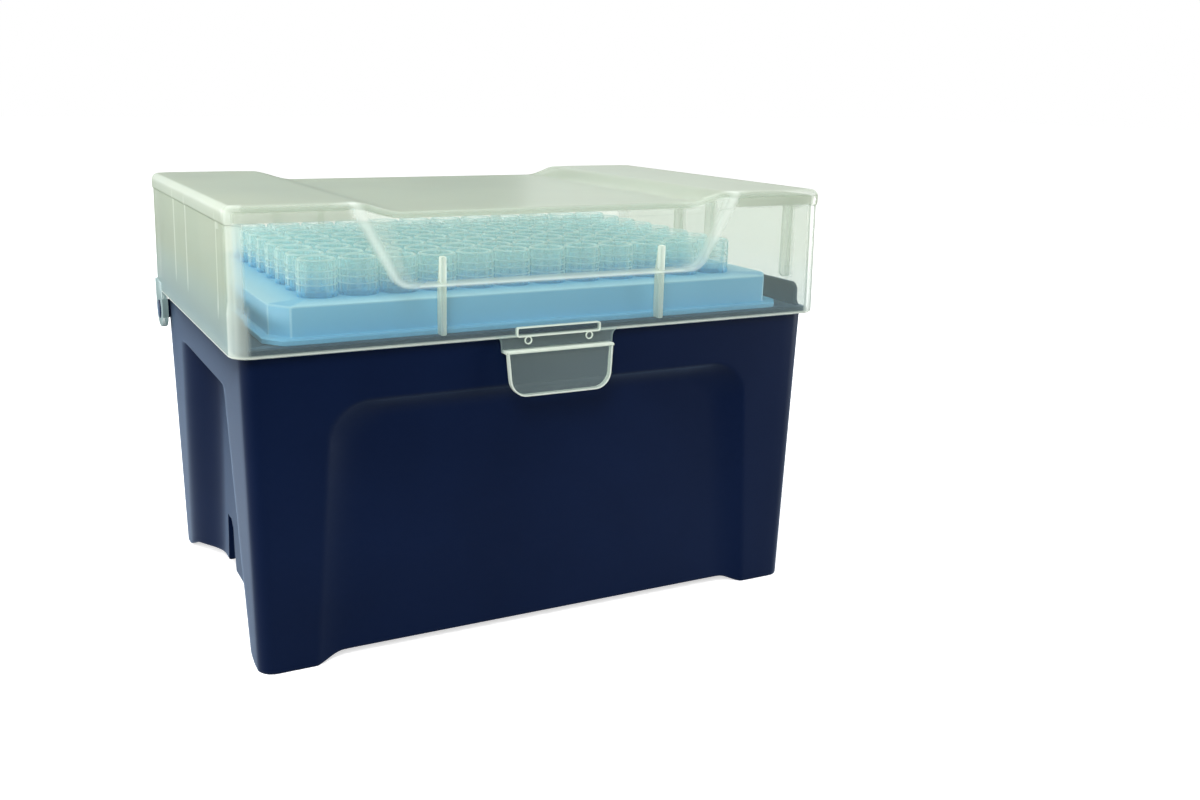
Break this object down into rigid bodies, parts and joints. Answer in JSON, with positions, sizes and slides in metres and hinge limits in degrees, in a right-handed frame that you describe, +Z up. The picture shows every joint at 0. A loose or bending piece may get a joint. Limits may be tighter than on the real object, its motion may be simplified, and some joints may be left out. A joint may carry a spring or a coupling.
{
  "type": "box of pipette tips",
  "caption": "Hinged laboratory box with a perforated deck that holds pipette tips by their collars under a clear snap lid.",
  "frame": {"origin": "middle of the whole box's outline on the table plane, under the feet", "axes": "+X along the length, +Y from the catch side to the hinge side, +Z up"},
  "size_m": [0.143, 0.0969, 0.0994],
  "materials": {
    "base": "fine satin moulding, opaque",
    "deck": "satin moulding",
    "lid": "translucent natural moulding",
    "tips": "clear moulding"
  },
  "bodies": {
    "box": {"base": "base", "deck": "deck", "tips_column_1": "tips", "tips_column_2": "tips", "tips_column_3": "tips", "tips_column_4": "tips", "tips_column_5": "tips", "tips_column_6": "tips", "tips_column_7": "tips", "tips_column_8": "tips", "tips_column_9": "tips", "tips_column_10": "tips", "tips_column_11": "tips", "tips_column_12": "tips"},
    "cover": {"lid": "lid"}
  },
  "joints": [
    {"name": "lid_hinge", "type": "hinge", "parent": "box", "child": "cover", "pos_m": [0, 0.043, 0.0647], "axis": [-1, 0, 0], "range_deg": [0, 105]}
  ]
}
